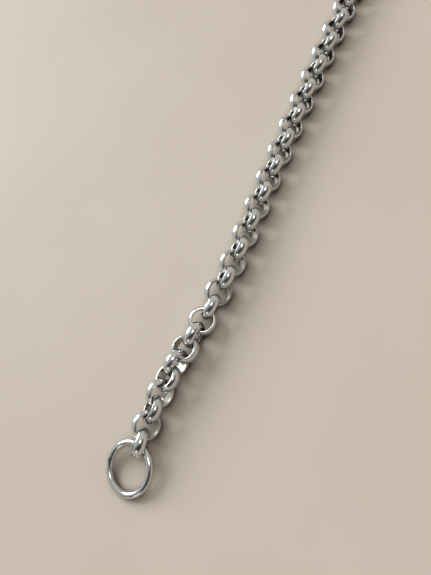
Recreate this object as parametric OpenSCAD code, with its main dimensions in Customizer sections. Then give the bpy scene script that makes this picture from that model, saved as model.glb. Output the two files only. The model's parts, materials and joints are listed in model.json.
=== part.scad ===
// Wallet chain: belcher chain of broad domed links with a plain end ring and a swivel trigger hook.
// Millimetres. X runs from the ring towards the hook and Z is up. The origin is the ring's centre.
// The chain is laid out on a flat surface, with a quarter twist near the ring and a slight bend.

/* [Links] */
// Number of links in the chain
link_count = 50; // [12:1:52]
// Outer diameter of a link
link_od = 10; // [9.6:0.1:12]
// Radial thickness of a link at the crown of its domed outside
band_t = 1.4; // [1.2:0.05:1.5]
// Radial thickness of a link at its flat rims
rim_t = 0.6; // [0.5:0.05:0.8]
// Width of a link along its own axis
band_w = 3.5; // [3.2:0.05:3.6]
// Radius that breaks the four edges of a link
edge_r = 0.2; // [0.1:0.05:0.25]
// How far two neighbouring links stand short of full stretch
slack = 0.5; // [0.4:0.02:0.6]
// The same shortfall in the slacker stretch near the ring
loose_slack = 0.7; // [0.6:0.02:0.8]
// Link that ends the slacker stretch
loose_end = 10; // [9:1:12]

/* [Lay on the surface] */
// Tilt of the links' axes from upright, to the left and to the right in turn
lean = 48; // [45:1:50]
// Tilt of the first link's axis, which the end ring turns further over
first_lean = 56; // [54:1:58]
// Link from which the quarter twist starts
twist_from = 1.3; // [1:0.1:3]
// Number of links over which the chain twists
twist_span = 11; // [10:1:14]
// Heading of the first link, counter-clockwise from X
first_heading = 9; // [-10:1:20]
// Turn from link to link in the first bend
near_turn = -3.6; // [-3.6:0.1:0]
// Link that ends the first bend
near_end = 6; // [2:1:6]
// Turn from link to link in the counter-bend
mid_turn = 1.3; // [0:0.1:1.5]
// Link that ends the counter-bend
mid_end = 15; // [10:1:20]
// Turn from link to link in the long straight stretch
far_turn = -0.16; // [-0.3:0.02:0.3]

/* [End ring] */
// Outer diameter of the end ring
ring_od = 18.5; // [18:0.1:22]
// Diameter of the ring's round wire
ring_wire = 2.3; // [2:0.05:2.35]
// Direction from the ring's centre to the first link
ring_bearing = -5; // [-6:1:9]
// Gap along the chain between the ring's wire and the first link
ring_gap = 1.4; // [1.3:0.05:1.5]
// How far the ring's wire passes below the first link's centre
ring_drop = 0.5; // [0.4:0.05:0.6]

/* [Swivel eye] */
// Inner diameter of the swivel eye
eye_id = 5.8; // [5.6:0.1:6.4]
// Diameter of the eye's wire
eye_wire = 2; // [1.8:0.1:2.2]
// How far the last link stands short of full stretch in the eye
eye_slack = 0.5; // [0.4:0.05:0.6]
// Diameter of the swivel shank
shank_d = 2.6; // [2.2:0.1:3]
// Diameter of the peened head on the shank
head_d = 4; // [3.8:0.1:4.4]
// Thickness of the peened head
head_t = 1; // [0.8:0.1:1.2]
// Running clearance round the shank
shank_gap = 0.1; // [0.05:0.01:0.15]
// Clearance between the collar and the parts that turn against its two faces
collar_gap = 0.3; // [0.2:0.05:0.4]

/* [Hook] */
// Diameter of the hook's swivel collar
collar_d = 7.2; // [6.8:0.1:7.6]
// Length of the swivel collar
collar_l = 6; // [5.5:0.1:7]
// Diameter of the round bar that forms the hook
bar_d = 4.4; // [4:0.1:4.8]
// Clear width inside the hook
mouth_w = 11; // [10.5:0.1:13]
// Length of the hook's straight back
back_l = 14; // [12:0.5:18]

/* [Gate] */
// Diameter of the gate's round bar
gate_d = 3; // [2.8:0.1:3.2]
// Place of the gate's pivot round the hook's base, counter-clockwise from X
pivot_angle = 118; // [116:1:120]
// Gap between the closed gate and the hook's nose
nose_gap = 0.15; // [0.1:0.05:0.3]
// Radius of the gate's knuckle
knuckle_r = 2.2; // [2:0.1:2.3]
// Radius of the cheeks on both sides of the knuckle
cheek_r = 3; // [2.8:0.1:3.4]
// Thickness of each cheek
cheek_t = 1.6; // [1.4:0.1:1.8]
// Clearance between the gate and the hook round the pivot
cheek_gap = 0.2; // [0.15:0.05:0.3]
// Diameter of the gate pin
pin_d = 1.6; // [1.4:0.1:1.8]
// Running clearance between the pin and the gate
pin_gap = 0.05; // [0.03:0.01:0.08]
// Height of the rounded pin ends above the cheeks
pin_head = 0.25; // [0.2:0.05:0.4]
// Distance of the thumb stud from the pivot
stud_x = 10; // [8:0.5:12]
// Diameter of the thumb stud's foot in the gate
stud_foot = 1.4; // [1.2:0.1:1.6]
// Diameter of the thumb stud's neck
stud_neck = 2.4; // [2:0.1:2.6]
// Height of the thumb stud's neck
stud_l = 2; // [1.6:0.1:2.6]
// Diameter of the thumb stud's flared cap
stud_cap = 4; // [3.6:0.1:4.4]
// Height of the thumb stud's flared cap
stud_cap_l = 0.8; // [0.6:0.1:1]

/* [Hidden] */
$fn = 96;
overrun = 1;

// Number of a link as it stands in its name
function tag(n) = str(n < 10 ? "0" : "", n);
function link_name(n) = str("link_", tag(n));

// Link sizes: the inner radius, the dome's circle, and the height and places of the rounded edges
inner_r = link_od / 2 - band_t;
dome_rise = band_t - rim_t;
dome_r = (pow(band_w / 2, 2) + pow(dome_rise, 2)) / (2 * dome_rise);
dome_x = link_od / 2 - dome_r;
edge_y = band_w / 2 - edge_r;
inner_edge_x = inner_r + edge_r;
outer_edge_x = dome_x + sqrt(pow(dome_r - edge_r, 2) - pow(edge_y, 2));
// Point where a rounded outer edge runs into the dome
blend = [dome_x, 0] + [outer_edge_x - dome_x, edge_y] * dome_r / (dome_r - edge_r);

// Distance from a ring's centre at which the edges of a crossing link touch its inside
function seat(radius) = sqrt(pow(radius, 2) - pow(band_w / 2, 2));

// Twist, heading and roll of link n; number link_count + 1 is the swivel eye
eye_n = link_count + 1;
function clamp(x, low, high) = min(max(x, low), high);
function ease(x) = x * x * (3 - 2 * x);
function twist(n) = ease(clamp((n - twist_from) / twist_span, 0, 1));
function heading(n) =
    first_heading
    + near_turn * clamp(n - 1, 0, near_end - 1)
    + mid_turn * clamp(n - near_end, 0, mid_end - near_end)
    + far_turn * max(n - mid_end, 0);
function roll(n) = n == 1 ? first_lean
    : n % 2 == 1 ? lean * (1 - 2 * twist(n))
    : -lean * (1 - twist(n)) - (180 - lean) * twist(n);

// Stride from link n - 1 to link n
function pitch(n) = n == eye_n
    ? inner_r + seat(eye_id / 2) - eye_slack
    : 2 * seat(inner_r) - (n <= loose_end ? loose_slack : slack);
function along(angle) = [cos(angle), sin(angle)];
function stride(n) = pitch(n) * along((heading(n) + heading(n - 1)) / 2);

// Height above the surface of a ring that rests on its round wire or dome with its axis tilted
function rest_height(mid_r, round_r, tilt) = mid_r * sin(tilt) + round_r;
function link_height(n) = n == 1
    ? rest_height(dome_x, dome_r, first_lean)
    : rest_height(dome_x, dome_r, lean + (180 - 2 * lean) * twist(n));

// The end ring leans on the surface and rises into the first link
ring_r = (ring_od - ring_wire) / 2;
ring_tilt = asin((link_height(1) - ring_drop - ring_wire / 2) / (2 * ring_r));
ring_height = rest_height(ring_r, ring_wire / 2, ring_tilt);
surface_z = -ring_height;
ring_reach = ring_r * cos(ring_tilt) + inner_r - ring_gap - ring_wire / 2;

// Centre of every link, and of the swivel eye after the last one
spots = [
    for (n = 1, p = ring_reach * along(ring_bearing); n <= eye_n; n = n + 1, p = p + stride(n)) p
];

// Swivel eye and hook, measured along the hook's axis from the eye's centre
eye_r = (eye_id + eye_wire) / 2;
eye_height = rest_height(eye_r, eye_wire / 2, lean);
collar_x = eye_id / 2 + eye_wire + collar_gap;
head_x = collar_x + collar_l + collar_gap;
loop_r = (mouth_w + bar_d) / 2;
base_x = collar_x + collar_l / 2 + loop_r;
nose_x = base_x + back_l;

// Gate, from its pivot to its rounded end under the hook's nose
pivot = [base_x, 0] + loop_r * along(pivot_angle);
gate_end = [nose_x, mouth_w / 2 - gate_d / 2 - nose_gap];
gate_l = norm(gate_end - pivot);
gate_heading = atan2(gate_end[1] - pivot[1], gate_end[0] - pivot[0]);
fork_w = gate_d + 2 * cheek_gap;
pivot_w = fork_w + 2 * cheek_t;

// Cylinder along X from x = 0, turned so that its seam meets the seam of an arc that it runs into
module bar(d, l) {
    rotate([0, 90, 0]) rotate([0, 0, -90]) cylinder(d = d, h = l);
}

// Whole ring of round wire in the XY plane
module wire_ring(radius, wire) {
    rotate_extrude() translate([radius, 0]) circle(d = wire);
}

// Arc of round bar in the XY plane, from one angle over a sweep
module bar_arc(radius, d, from, sweep) {
    rotate([0, 0, from]) rotate_extrude(angle = sweep) translate([radius, 0]) circle(d = d);
}

// Section of a link: flat inside and at the rims, domed outside, with rounded edges
module link_section() {
    rim = [
        blend,
        [outer_edge_x, band_w / 2],
        [inner_edge_x, band_w / 2],
        [inner_r, edge_y]
    ];
    below = [for (i = [3 : -1 : 0]) [rim[i][0], -rim[i][1]]];
    intersection() {
        translate([dome_x, 0]) circle(r = dome_r);
        polygon(concat([[link_od, blend[1]]], rim, below, [[link_od, -blend[1]]]));
    }
    for (x = [inner_edge_x, outer_edge_x], side = [-1, 1])
        translate([x, side * edge_y]) circle(r = edge_r);
}

module place_link(n) {
    translate([spots[n - 1][0], spots[n - 1][1], surface_z + link_height(n)])
        rotate([0, 0, heading(n)]) rotate([-roll(n), 0, 0]) children();
}

module place_clip() {
    translate([spots[eye_n - 1][0], spots[eye_n - 1][1], surface_z + eye_height])
        rotate([0, 0, heading(eye_n)]) children();
}

module place_gate() {
    place_clip() translate(pivot) rotate([0, 0, gate_heading]) children();
}

module end_ring() {
    color("silver")
        rotate([0, 0, ring_bearing]) rotate([0, -ring_tilt, 0]) wire_ring(ring_r, ring_wire);
}

module chain_link(n) {
    color("lightgray") place_link(n) rotate_extrude() link_section();
}

// Eye, shank and peened head in one piece
module swivel_eye() {
    color("silver") place_clip() {
        rotate([-roll(eye_n), 0, 0]) wire_ring(eye_r, eye_wire);
        translate([eye_r, 0, 0]) bar(shank_d, head_x + head_t / 2 - eye_r);
        translate([head_x, 0, 0]) bar(head_d, head_t);
    }
}

// Collar, base, back and nose, with the fork for the gate
module hook_body() {
    color("darkgray") place_clip() difference() {
        union() {
            translate([collar_x, 0, 0]) bar(collar_d, collar_l);
            translate([base_x, 0, 0]) {
                bar_arc(loop_r, bar_d, pivot_angle, 180 - pivot_angle);
                bar_arc(loop_r, bar_d, 180, 90);
            }
            translate([base_x, -loop_r, 0]) bar(bar_d, back_l);
            translate([nose_x, 0, 0]) bar_arc(loop_r, bar_d, -90, 180);
            translate([nose_x, loop_r, 0]) sphere(d = bar_d);
            translate(pivot) cylinder(r = cheek_r, h = pivot_w, center = true);
        }
        translate([collar_x - overrun, 0, 0])
            bar(shank_d + 2 * shank_gap, collar_l + 2 * overrun);
        translate(pivot) {
            cylinder(r = knuckle_r + cheek_gap, h = fork_w, center = true);
            translate([0, -2 * cheek_r, -fork_w / 2]) cube([2 * cheek_r, 4 * cheek_r, fork_w]);
            cylinder(d = pin_d, h = pivot_w + 2 * overrun, center = true);
        }
    }
}

module gate() {
    color("silver") place_gate() difference() {
        union() {
            cylinder(r = knuckle_r, h = gate_d, center = true);
            bar(gate_d, gate_l);
            translate([gate_l, 0, 0]) sphere(d = gate_d);
        }
        cylinder(d = pin_d + 2 * pin_gap, h = gate_d + 2 * overrun, center = true);
        translate([stud_x, 0, 0]) rotate([-90, 0, 0]) cylinder(d = stud_foot, h = gate_d);
    }
}

// Pin through both cheeks, with a rounded head at each end
module gate_pin() {
    head_r = pin_d / 2 + pin_head;
    color("gainsboro") place_gate() {
        cylinder(d = pin_d, h = pivot_w, center = true);
        for (side = [0, 180]) rotate([side, 0, 0]) translate([0, 0, pivot_w / 2])
            cylinder(r1 = head_r, r2 = head_r - pin_head, h = pin_head);
    }
}

// Riveted stud that the thumb pulls the gate open with
module thumb_stud() {
    color("gainsboro") place_gate() translate([stud_x, 0, 0]) rotate([-90, 0, 0]) {
        cylinder(d = stud_foot, h = gate_d / 2);
        translate([0, 0, gate_d / 2]) {
            cylinder(d = stud_neck, h = stud_l);
            translate([0, 0, stud_l]) cylinder(d1 = stud_neck, d2 = stud_cap, h = stud_cap_l);
        }
    }
}

end_ring();
for (n = [1 : link_count]) chain_link(n);
swivel_eye();
hook_body();
gate();
gate_pin();
thumb_stud();
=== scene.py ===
import json
import math
import random

import bpy
import numpy as np
from mathutils import Matrix, Vector

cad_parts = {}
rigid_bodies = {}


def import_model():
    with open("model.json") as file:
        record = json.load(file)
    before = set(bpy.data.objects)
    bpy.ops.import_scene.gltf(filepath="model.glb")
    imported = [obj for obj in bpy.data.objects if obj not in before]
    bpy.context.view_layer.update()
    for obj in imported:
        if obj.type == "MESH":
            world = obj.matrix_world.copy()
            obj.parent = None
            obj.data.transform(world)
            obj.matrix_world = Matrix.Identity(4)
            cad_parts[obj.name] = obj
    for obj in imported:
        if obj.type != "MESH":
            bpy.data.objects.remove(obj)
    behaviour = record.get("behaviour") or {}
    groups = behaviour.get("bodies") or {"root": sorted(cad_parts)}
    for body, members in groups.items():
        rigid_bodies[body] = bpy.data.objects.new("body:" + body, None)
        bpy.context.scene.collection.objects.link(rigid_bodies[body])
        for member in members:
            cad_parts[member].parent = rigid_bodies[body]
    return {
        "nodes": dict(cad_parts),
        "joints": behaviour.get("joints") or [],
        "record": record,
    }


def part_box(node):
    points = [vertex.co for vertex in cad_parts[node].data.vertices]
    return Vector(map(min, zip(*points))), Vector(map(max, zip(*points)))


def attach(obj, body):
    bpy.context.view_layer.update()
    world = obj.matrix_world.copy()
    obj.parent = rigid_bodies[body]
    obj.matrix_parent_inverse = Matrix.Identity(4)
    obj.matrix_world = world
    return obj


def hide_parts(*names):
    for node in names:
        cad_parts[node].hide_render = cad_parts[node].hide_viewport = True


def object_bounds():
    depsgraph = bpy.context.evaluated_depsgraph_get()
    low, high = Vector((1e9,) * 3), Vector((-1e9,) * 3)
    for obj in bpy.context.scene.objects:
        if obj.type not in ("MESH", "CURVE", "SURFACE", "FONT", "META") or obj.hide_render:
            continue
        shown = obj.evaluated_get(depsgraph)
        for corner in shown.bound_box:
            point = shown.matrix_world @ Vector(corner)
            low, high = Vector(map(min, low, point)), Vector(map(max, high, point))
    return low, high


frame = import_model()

MM = 0.001
SEED = 7

# Camera and the point it looks at, from the first link's centre and above the table, in millimetres
CAMERA_FROM_LINK = (25.5, -78.4, 140.1)
AIM_FROM_LINK = (58.1, 1.5, 0.0)
CAMERA_ROLL = math.radians(-45.9)
CAMERA_LENS = 28.6
CAMERA_CLIP = 5 * MM

# Points along each ring and round its section
RING_STATIONS = 120
LINK_STATIONS = 88
WIRE_POINTS = 28
DOME_POINTS = 17
EDGE_POINTS = 5
RIM_POINTS = 4
INNER_POINTS = 6

# Links: rounding of the band's edges, its thickness at the rims, and how uneven a worn one is
EDGE = 0.2 * MM
RIM = 0.6 * MM
WEAR = 0.012 * MM
WARP = 0.008 * MM

# Butt seams: all lie on the side away from the ring, give or take, but for one that shows in front
SEAM_DEPTH = 0.08 * MM
SEAM_HALF_WIDTH = math.radians(1.0)
SEAM_SCATTER = 0.35
OPEN_SEAM_LINK = "link_07"
OPEN_SEAM_ANGLE = math.radians(145)

# The end ring's weld: a slight swelling, and a dark mark set in and up by shares of the wire radius
WELD_ANGLE = math.radians(98)
WELD_SWELL = 0.10 * MM
WELD_REACH = math.radians(5)
WELD_MARK = 0.9 * MM
WELD_MARK_IN = 0.4
WELD_MARK_UP = 0.9
WELD_COLOR = (0.14, 0.10, 0.085)

# Steel: how rough each kind is, its marks in waves per metre, how far its polishing lines are drawn
# out, and the painted shade that darkens its hollows
STEEL_TINT = (0.69, 0.705, 0.70)
LINK_GLOSS = 0.14
RING_GLOSS = 0.11
CAST_GLOSS = 0.20
BAR_GLOSS = 0.16
RIVET_GLOSS = 0.26
POLISH_SCALE = 5200.0
CLOUD_SCALE = 420.0
DENT_SCALE = 900.0
SCRATCH_SCALE = 2600.0
SCRATCH_SPAN = (0.60, 0.66)
TURN_TO_RUN = 0.0012
BAR_TO_RUN = 0.15
BUMP_DEPTH = 0.02 * MM
HOLLOW_REACH = 3.2 * MM
HOLLOW_SPAN = (0.25, 0.75)
# Painted shade in the hollows: how much of it, and how dark the steel turns there
HOLLOW_PAINTED_SHADE = 0.92
DULLED = 0.86
PAINTED_SHADE_TINT = (0.12, 0.11, 0.10)
AO_SAMPLES = 8

# Table: its size and colours, and the shade close to a piece
TABLE_HALF = 8.0
TABLE_COLORS = ((0.56, 0.485, 0.41), (0.59, 0.515, 0.44))
TABLE_CLOUD_SCALE = 14.0
TABLE_ROUGHNESS = 0.7
TABLE_SHADE = (0.10, 0.075, 0.055)
TABLE_SHADE_REACH = 8.0 * MM
TABLE_SHADE_SPAN = (0.30, 0.90)
TABLE_SHADE_MOST = 0.85

# Lights: direction, width in degrees, strength and colour
WINDOW = ((0.12, 0.52, 0.30), 36.0, 2.8, (0.985, 1.0, 0.99))
SKYLIGHT = ((0.22, -0.32, 0.85), 18.0, 0.45, (0.985, 1.0, 0.99))
LAMP = ((-0.85, -0.05, 0.42), 17.0, 0.14, (1.0, 0.98, 0.95))

# Room: a colour, the direction it lies in, and the cosines of the angle to that direction where the
# colour starts and where it is full
ROOM_WALL = (0.55, 0.50, 0.45)
WALL_TOP = (0.24, 0.52)
ROOM_UPPER = ((0.10, 0.085, 0.07), (0, 0, 1), *WALL_TOP)
ROOM_CEILING = ((0.45, 0.455, 0.445), (0, 0, 1), 0.62, 0.95)
ROOM_BRIGHT = ((0.60, 0.64, 0.635), (-0.1, 0.85, 0.45), 0.55, 0.98)
ROOM_CREAM = ((0.66, 0.63, 0.58), (0.80, 0.05, 0.55), 0.62, 0.95)
ROOM_DARK = ((0.06, 0.05, 0.042), (-0.62, -0.50, 0.60), 0.66, 0.93)

# A Mix node's sockets for colours
MIX_A, MIX_B, MIX_RESULT = 6, 7, 2

LOW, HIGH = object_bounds()
TABLE_Z = LOW.z


# ---- What the frame says about the pieces ----

def link_names():
    return sorted(name for name in frame["nodes"] if name.startswith("link_"))


def held_joint(body):
    """The joint of the piece that hangs on this body: it sits at the body's own ring centre."""
    return next(j for j in frame["joints"]
                if j["parent"] == body and j["name"].endswith("_swing"))


def facing(centre, axis, towards):
    """Matrix with its origin at a centre, Z along an axis and X towards a point."""
    along = Vector(towards) - centre
    along = (along - along.dot(axis) * axis).normalized()
    basis = Matrix((along, axis.cross(along), axis)).transposed()
    return Matrix.Translation(centre) @ basis.to_4x4()


def link_matrix(body, towards):
    """A link's matrix: its axis points up, and its X towards a point."""
    joint = held_joint(body)
    axis = Vector(joint["axis"]).normalized()
    if axis.z < 0:
        axis.negate()
    return facing(Vector(joint["pos_m"]), axis, towards)


def ring_centre():
    low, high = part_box("end_ring")
    return (low + high) / 2


def ring_sizes(node, matrix):
    """Inner radius, outer radius and half width of a CAD ring about a matrix's Z axis."""
    inverse = matrix.inverted()
    points = np.array([inverse @ v.co for v in frame["nodes"][node].data.vertices])
    radial = np.hypot(points[:, 0], points[:, 1])
    return radial.min(), radial.max(), np.abs(points[:, 2]).max()


# ---- Node helpers ----

class Shader:
    """A node tree, with short calls for the nodes that the materials and the room share."""

    def __init__(self, tree):
        self.tree = tree
        self.tree.nodes.clear()

    def node(self, kind, inputs=None, **settings):
        made = self.tree.nodes.new("ShaderNode" + kind)
        for key, value in settings.items():
            setattr(made, key, value)
        for key, value in (inputs or {}).items():
            if isinstance(value, bpy.types.NodeSocket):
                self.tree.links.new(value, made.inputs[key])
            else:
                made.inputs[key].default_value = value
        return made

    def output(self, shader, kind):
        self.tree.links.new(shader.outputs[0], self.node(kind).inputs[0])

    def math(self, operation, a, b=0.0):
        return self.node("Math", {0: a, 1: b}, operation=operation).outputs[0]

    def add(self, a, b):
        return self.node("VectorMath", {0: a, 1: b}, operation="ADD").outputs[0]

    def span(self, value, low, high, to_low, to_high):
        inputs = {"Value": value, "From Min": low, "From Max": high,
                  "To Min": to_low, "To Max": to_high}
        return self.node("MapRange", inputs).outputs["Result"]

    def smooth(self, value, low, high):
        inputs = {"Value": value, "From Min": low, "From Max": high}
        return self.node("MapRange", inputs, interpolation_type="SMOOTHSTEP").outputs["Result"]

    def noise(self, vector, scale, detail, roughness=0.55, distortion=0.0):
        inputs = {"Vector": vector, "Scale": scale, "Detail": detail,
                  "Roughness": roughness, "Distortion": distortion}
        return self.node("TexNoise", inputs).outputs["Fac"]

    def openness(self, reach):
        """1 out in the open, and 0 where other surfaces are close all round."""
        return self.node("AmbientOcclusion", {"Distance": reach}, samples=AO_SAMPLES).outputs["AO"]

    def mix(self, factor, a, b):
        made = self.node("Mix", {"Factor": factor}, data_type="RGBA")
        for socket, value in ((made.inputs[MIX_A], a), (made.inputs[MIX_B], b)):
            if isinstance(value, bpy.types.NodeSocket):
                self.tree.links.new(value, socket)
            else:
                socket.default_value = (*value, 1.0)
        return made.outputs[MIX_RESULT]


def new_material(name):
    material = bpy.data.materials.new(name)
    material.use_nodes = True
    return material, Shader(material.node_tree)


def polishing_run(sh, coords, along_ring):
    """Coordinates drawn out along the way the piece was polished: round a ring, or along a bar."""
    xyz = sh.node("SeparateXYZ", {0: coords})
    x, y, z = (xyz.outputs[i] for i in range(3))
    if along_ring:
        squares = sh.math("ADD", sh.math("POWER", x, 2.0), sh.math("POWER", y, 2.0))
        radius = sh.math("SQRT", squares)
        run = sh.math("MULTIPLY", sh.math("ARCTAN2", y, x), TURN_TO_RUN)
        return sh.node("CombineXYZ", {0: run, 1: radius, 2: z}).outputs[0]
    run = sh.math("MULTIPLY", x, BAR_TO_RUN)
    return sh.node("CombineXYZ", {0: run, 1: y, 2: z}).outputs[0]


def steel(name, gloss, wave=1.0, along_ring=True, weld=None):
    """Polished steel: polishing lines, fine scratches, slight waviness, and duller hollows darkened
    with painted shade.
    """
    material, sh = new_material(name)
    coords = sh.node("TexCoord").outputs["Object"]
    part = sh.node("ObjectInfo").outputs["Random"]
    shift = sh.node("CombineXYZ", {0: sh.math("MULTIPLY", part, 3.1),
                                   1: sh.math("MULTIPLY", part, 1.7), 2: part}).outputs[0]
    lines = sh.add(polishing_run(sh, coords, along_ring), shift)
    body = sh.add(coords, shift)

    polish = sh.noise(lines, POLISH_SCALE, 4.0, 0.6)
    cloud = sh.noise(body, CLOUD_SCALE, 3.0, 0.5)
    dents = sh.noise(body, DENT_SCALE, 2.0, 0.5)
    scratch = sh.span(sh.noise(body, SCRATCH_SCALE, 6.0, 0.8, 2.5), *SCRATCH_SPAN, 0.0, 1.0)
    hollow = sh.span(sh.openness(HOLLOW_REACH), *HOLLOW_SPAN, 1.0, 0.0)

    rough = sh.span(polish, 0.3, 0.7, gloss * 0.8, gloss * 1.35)
    rough = sh.math("ADD", rough, sh.span(cloud, 0.35, 0.7, -0.02, 0.05))
    rough = sh.math("ADD", rough, sh.math("MULTIPLY", scratch, 0.08))
    rough = sh.math("ADD", rough, sh.math("MULTIPLY", hollow, 0.10))

    dull = tuple(c * DULLED for c in STEEL_TINT)
    hollow_shade_tone = tuple(c * g for c, g in zip(STEEL_TINT, PAINTED_SHADE_TINT))
    color = sh.mix(sh.span(cloud, 0.3, 0.7, 0.0, 1.0), STEEL_TINT, dull)
    # Painted shade: the colour turns to a dark steel tone where other surfaces are close all round
    color = sh.mix(sh.math("MULTIPLY", hollow, HOLLOW_PAINTED_SHADE), color, hollow_shade_tone)

    if weld:
        apart = sh.node("VectorMath", {0: coords, 1: weld}, operation="DISTANCE").outputs["Value"]
        ragged = sh.math("ADD", apart, sh.span(dents, 0.3, 0.7, -0.3 * MM, 0.3 * MM))
        mark = sh.span(ragged, WELD_MARK * 0.5, WELD_MARK, 1.0, 0.0)
        color = sh.mix(sh.math("MULTIPLY", mark, 0.8), color, WELD_COLOR)
        rough = sh.math("ADD", rough, sh.math("MULTIPLY", mark, 0.15))

    height = sh.math("MULTIPLY", polish, 0.10)
    height = sh.math("ADD", height, sh.math("MULTIPLY", dents, 0.9 * wave))
    height = sh.math("SUBTRACT", height, sh.math("MULTIPLY", scratch, 0.12))
    bump = sh.node("Bump", {"Height": height, "Strength": 0.5, "Distance": BUMP_DEPTH})

    inputs = {"Base Color": color, "Metallic": 1.0, "Roughness": rough,
              "Normal": bump.outputs["Normal"]}
    sh.output(sh.node("BsdfPrincipled", inputs), "OutputMaterial")
    return material


# ---- Meshes ----

def surface(name, grid):
    """Smooth closed mesh from a grid of points: stations round a ring, each with its section."""
    stations, count, _ = grid.shape
    faces = []
    for i in range(stations):
        j = (i + 1) % stations
        for k in range(count):
            m = (k + 1) % count
            faces.append((i * count + k, j * count + k, j * count + m, i * count + m))
    mesh = bpy.data.meshes.new(name)
    mesh.from_pydata(grid.reshape(-1, 3).tolist(), [], faces)
    mesh.shade_smooth()
    mesh.update()
    return mesh


def band_section(inner, outer, half, rim, edge):
    """A link's band as (radius, height) points: flat inside and at its rims, domed outside."""
    rise = outer - inner - rim
    dome = (half ** 2 + rise ** 2) / (2 * rise)
    dome_x = outer - dome
    edge_y = half - edge
    shoulder = dome_x + math.sqrt((dome - edge) ** 2 - edge_y ** 2)
    meet = math.atan2(edge_y, shoulder - dome_x)
    upper = [(shoulder + edge * math.cos(a), edge_y + edge * math.sin(a))
             for a in np.linspace(meet, math.pi / 2, EDGE_POINTS)[1:]]
    upper += [(x, half) for x in np.linspace(shoulder, inner + edge, RIM_POINTS)[1:-1]]
    upper += [(inner + edge + edge * math.cos(a), edge_y + edge * math.sin(a))
              for a in np.linspace(math.pi / 2, math.pi, EDGE_POINTS)]
    crown = [(dome_x + dome * math.cos(a), dome * math.sin(a))
             for a in np.linspace(-meet, meet, DOME_POINTS)]
    inside = [(inner, y) for y in np.linspace(edge_y, -edge_y, INNER_POINTS)[1:-1]]
    lower = [(x, -y) for x, y in reversed(upper)]
    return np.array(crown + upper + inside + lower)


def station_angles(count, seam):
    """Even angles round a ring, with extra ones where its seam is."""
    even = [seam + math.tau * i / count for i in range(count)]
    close = [seam + SEAM_HALF_WIDTH * f for f in (-2.0, -1.0, 1.0, 2.0)]
    return np.array(sorted(even + close))


def from_seam(angle, seam):
    return abs(math.remainder(angle - seam, math.tau))


def groove(off):
    """Depth of a seam at an angle off its middle."""
    return SEAM_DEPTH * max(0.0, 1.0 - off / SEAM_HALF_WIDTH)


def link_mesh(name, inner, outer, half, seam, rng):
    """One link: a domed band closed to a ring, a little uneven, with a fine butt seam."""
    section = band_section(inner, outer, half, RIM, EDGE)
    inward = section.mean(axis=0) - section
    inward /= np.linalg.norm(inward, axis=1)[:, None]
    angles = station_angles(LINK_STATIONS, seam)
    phase = [rng.uniform(0, math.tau) for _ in range(3)]
    grid = np.zeros((len(angles), len(section), 3))
    for i, a in enumerate(angles):
        worn = WEAR * (math.sin(2 * a + phase[0]) + 0.6 * math.sin(3 * a + phase[1]))
        ring = section + inward * (groove(from_seam(a, seam)) + max(0.0, worn))
        grid[i, :, 0] = ring[:, 0] * math.cos(a)
        grid[i, :, 1] = ring[:, 0] * math.sin(a)
        grid[i, :, 2] = ring[:, 1] + WARP * math.sin(a + phase[2])
    return surface(name, grid)


def wire_ring_mesh(name, radius, wire_radius, seam):
    """Ring of round wire with the slight swelling and fine line of its weld."""
    angles = station_angles(RING_STATIONS, seam)
    turn = np.linspace(0, math.tau, WIRE_POINTS, endpoint=False)
    grid = np.zeros((len(angles), WIRE_POINTS, 3))
    for i, a in enumerate(angles):
        off = from_seam(a, seam)
        swell = WELD_SWELL * math.exp(-(off / WELD_REACH) ** 2)
        r = wire_radius + swell - groove(off)
        grid[i, :, 0] = (radius + r * np.cos(turn)) * math.cos(a)
        grid[i, :, 1] = (radius + r * np.cos(turn)) * math.sin(a)
        grid[i, :, 2] = r * np.sin(turn)
    return surface(name, grid)


def rounded_copy(name, node, voxel, passes):
    """The CAD piece as cast or turned: remeshed fine, with its sharp edges worn round."""
    mesh = frame["nodes"][node].data.copy()
    mesh.name = name
    mesh.materials.clear()
    piece = bpy.data.objects.new(name, mesh)
    bpy.context.scene.collection.objects.link(piece)
    remesh = piece.modifiers.new("cast", "REMESH")
    remesh.mode = "VOXEL"
    remesh.voxel_size = voxel
    smooth = piece.modifiers.new("polish", "SMOOTH")
    smooth.factor = 0.5
    smooth.iterations = passes
    graph = bpy.context.evaluated_depsgraph_get()
    made = bpy.data.meshes.new_from_object(piece.evaluated_get(graph))
    bpy.data.objects.remove(piece)
    made.name = name
    made.shade_smooth()
    return made


def add_piece(name, mesh, matrix, body, node, material):
    piece = bpy.data.objects.new(name, mesh)
    bpy.context.scene.collection.objects.link(piece)
    piece.matrix_world = matrix
    mesh.materials.append(material)
    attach(piece, body)
    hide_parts(node)


# ---- The chain, its ring and its hook ----

def build_links(material):
    rng = random.Random(SEED)
    near = ring_centre()
    for name in link_names():
        matrix = link_matrix(name, near)
        near = matrix.translation
        inner, outer, half = ring_sizes(name, matrix)
        if name == OPEN_SEAM_LINK:
            seam = OPEN_SEAM_ANGLE
        else:
            seam = math.pi + rng.uniform(-SEAM_SCATTER, SEAM_SCATTER)
        mesh = link_mesh("steel_" + name, inner, outer, half, seam, rng)
        add_piece("steel_" + name, mesh, matrix, name, name, material)


def build_end_ring():
    mount = next(m for m in frame["record"]["mounts"] if m["name"] == "ring_eye")
    axis = Vector(mount["axis"]).normalized()
    matrix = facing(Vector(mount["pos_m"]), axis, held_joint("link_01")["pos_m"])
    inner, outer, _ = ring_sizes("end_ring", matrix)
    middle, wire = (inner + outer) / 2, (outer - inner) / 2
    mesh = wire_ring_mesh("steel_end_ring", middle, wire, WELD_ANGLE)
    reach = middle - WELD_MARK_IN * wire
    weld = (reach * math.cos(WELD_ANGLE), reach * math.sin(WELD_ANGLE), WELD_MARK_UP * wire)
    material = steel("ring_steel", RING_GLOSS, wave=0.7, weld=weld)
    add_piece("steel_end_ring", mesh, matrix, "end_ring", "end_ring", material)


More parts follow.
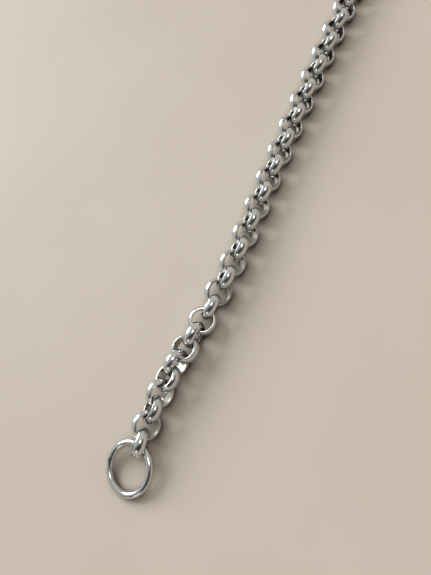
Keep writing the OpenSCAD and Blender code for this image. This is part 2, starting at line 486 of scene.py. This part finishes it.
def build_hook():
    cast = steel("cast_steel", CAST_GLOSS, wave=1.6, along_ring=False)
    bar = steel("bar_steel", BAR_GLOSS, wave=0.7, along_ring=False)
    rivet = steel("rivet_steel", RIVET_GLOSS, wave=0.5, along_ring=False)
    # Piece, CAD node, body, slot, material, voxel in millimetres and smoothing passes
    parts = (
        ("steel_eye", "swivel_eye", "swivel_eye", "ring_steel", bar, 0.10, 6),
        ("steel_hook", "hook_body", "hook", "hook_steel", cast, 0.14, 10),
        ("steel_gate", "gate", "gate", "gate_steel", bar, 0.10, 6),
        ("steel_pin", "gate_pin", "hook", "rivet_steel", rivet, 0.06, 5),
        ("steel_stud", "thumb_stud", "gate", "rivet_steel", rivet, 0.07, 6),
    )
    for name, node, body, slot, material, voxel, passes in parts:
        mesh = rounded_copy(name, node, voxel * MM, passes)
        add_piece(name, mesh, Matrix.Identity(4), body, node, material)


# ---- Table, light and camera ----

def table_material():
    """Plain pale table, a little cloudy, and darker where a piece is close to it."""
    material, sh = new_material("table")
    coords = sh.node("TexCoord").outputs["Object"]
    cloud = sh.noise(coords, TABLE_CLOUD_SCALE, 3.0)
    color = sh.mix(sh.span(cloud, 0.3, 0.7, 0.0, 1.0), *TABLE_COLORS)
    openness = sh.openness(TABLE_SHADE_REACH)
    shade = sh.span(openness, *TABLE_SHADE_SPAN, TABLE_SHADE_MOST, 0.0)
    color = sh.mix(shade, color, TABLE_SHADE)
    inputs = {"Base Color": color, "Roughness": TABLE_ROUGHNESS}
    sh.output(sh.node("BsdfPrincipled", inputs), "OutputMaterial")
    return material


def build_table():
    mesh = bpy.data.meshes.new("table")
    size = TABLE_HALF
    corners = [(-size, -size, 0), (size, -size, 0), (size, size, 0), (-size, size, 0)]
    mesh.from_pydata(corners, [], [(0, 1, 2, 3)])
    mesh.materials.append(table_material())
    table = bpy.data.objects.new("table", mesh)
    table.location = (0, 0, TABLE_Z)
    bpy.context.scene.collection.objects.link(table)


def soft_light(name, direction, spread, strength, color):
    """Light from one direction of the room, as wide as its source looks from the table."""
    data = bpy.data.lights.new(name, "SUN")
    data.angle = math.radians(spread)
    data.energy = strength
    data.color = color
    lamp = bpy.data.objects.new(name, data)
    lamp.location = direction
    lamp.rotation_mode = "QUATERNION"
    lamp.rotation_quaternion = Vector(direction).to_track_quat("Z", "Y")
    bpy.context.scene.collection.objects.link(lamp)


def glow(sh, color, towards, direction, edge, full, above_wall=False):
    """Blend a colour towards another round a direction, by the cosine of the angle to it."""
    coords = sh.node("TexCoord").outputs["Generated"]
    unit = sh.node("VectorMath", {0: coords}, operation="NORMALIZE").outputs[0]
    aim = tuple(Vector(direction).normalized())
    dot = sh.node("VectorMath", {0: unit, 1: aim}, operation="DOT_PRODUCT")
    share = sh.smooth(dot.outputs["Value"], edge, full)
    if above_wall:
        height = sh.node("SeparateXYZ", {0: unit}).outputs[2]
        share = sh.math("MULTIPLY", share, sh.smooth(height, *WALL_TOP))
    return sh.mix(share, color, towards)


def build_room():
    """Pale walls, a dim upper room, a lit ceiling, a bright and a cream side, and a dark one."""
    world = bpy.data.worlds.new("room")
    world.use_nodes = True
    sh = Shader(world.node_tree)
    color = glow(sh, ROOM_WALL, *ROOM_UPPER)
    color = glow(sh, color, *ROOM_CEILING)
    color = glow(sh, color, *ROOM_BRIGHT)
    color = glow(sh, color, *ROOM_CREAM)
    color = glow(sh, color, *ROOM_DARK, above_wall=True)
    sh.output(sh.node("Background", {"Color": color, "Strength": 1.0}), "OutputWorld")
    bpy.context.scene.world = world


def build_camera():
    link = Vector(held_joint("link_01")["pos_m"])
    base = Vector((link.x, link.y, TABLE_Z))
    place = base + Vector(CAMERA_FROM_LINK) * MM
    aim = base + Vector(AIM_FROM_LINK) * MM
    data = bpy.data.cameras.new("camera")
    data.lens = CAMERA_LENS
    data.clip_start = CAMERA_CLIP
    camera = bpy.data.objects.new("camera", data)
    camera.location = place
    camera.rotation_mode = "QUATERNION"
    roll = Matrix.Rotation(CAMERA_ROLL, 3, "Z").to_quaternion()
    camera.rotation_quaternion = (aim - place).to_track_quat("-Z", "Y") @ roll
    bpy.context.scene.collection.objects.link(camera)
    bpy.context.scene.camera = camera


build_links(steel("link_steel", LINK_GLOSS))
build_end_ring()
build_hook()
build_table()
soft_light("window", *WINDOW)
soft_light("skylight", *SKYLIGHT)
soft_light("lamp", *LAMP)
build_room()
build_camera()
bpy.context.scene.view_settings.view_transform = "Standard"
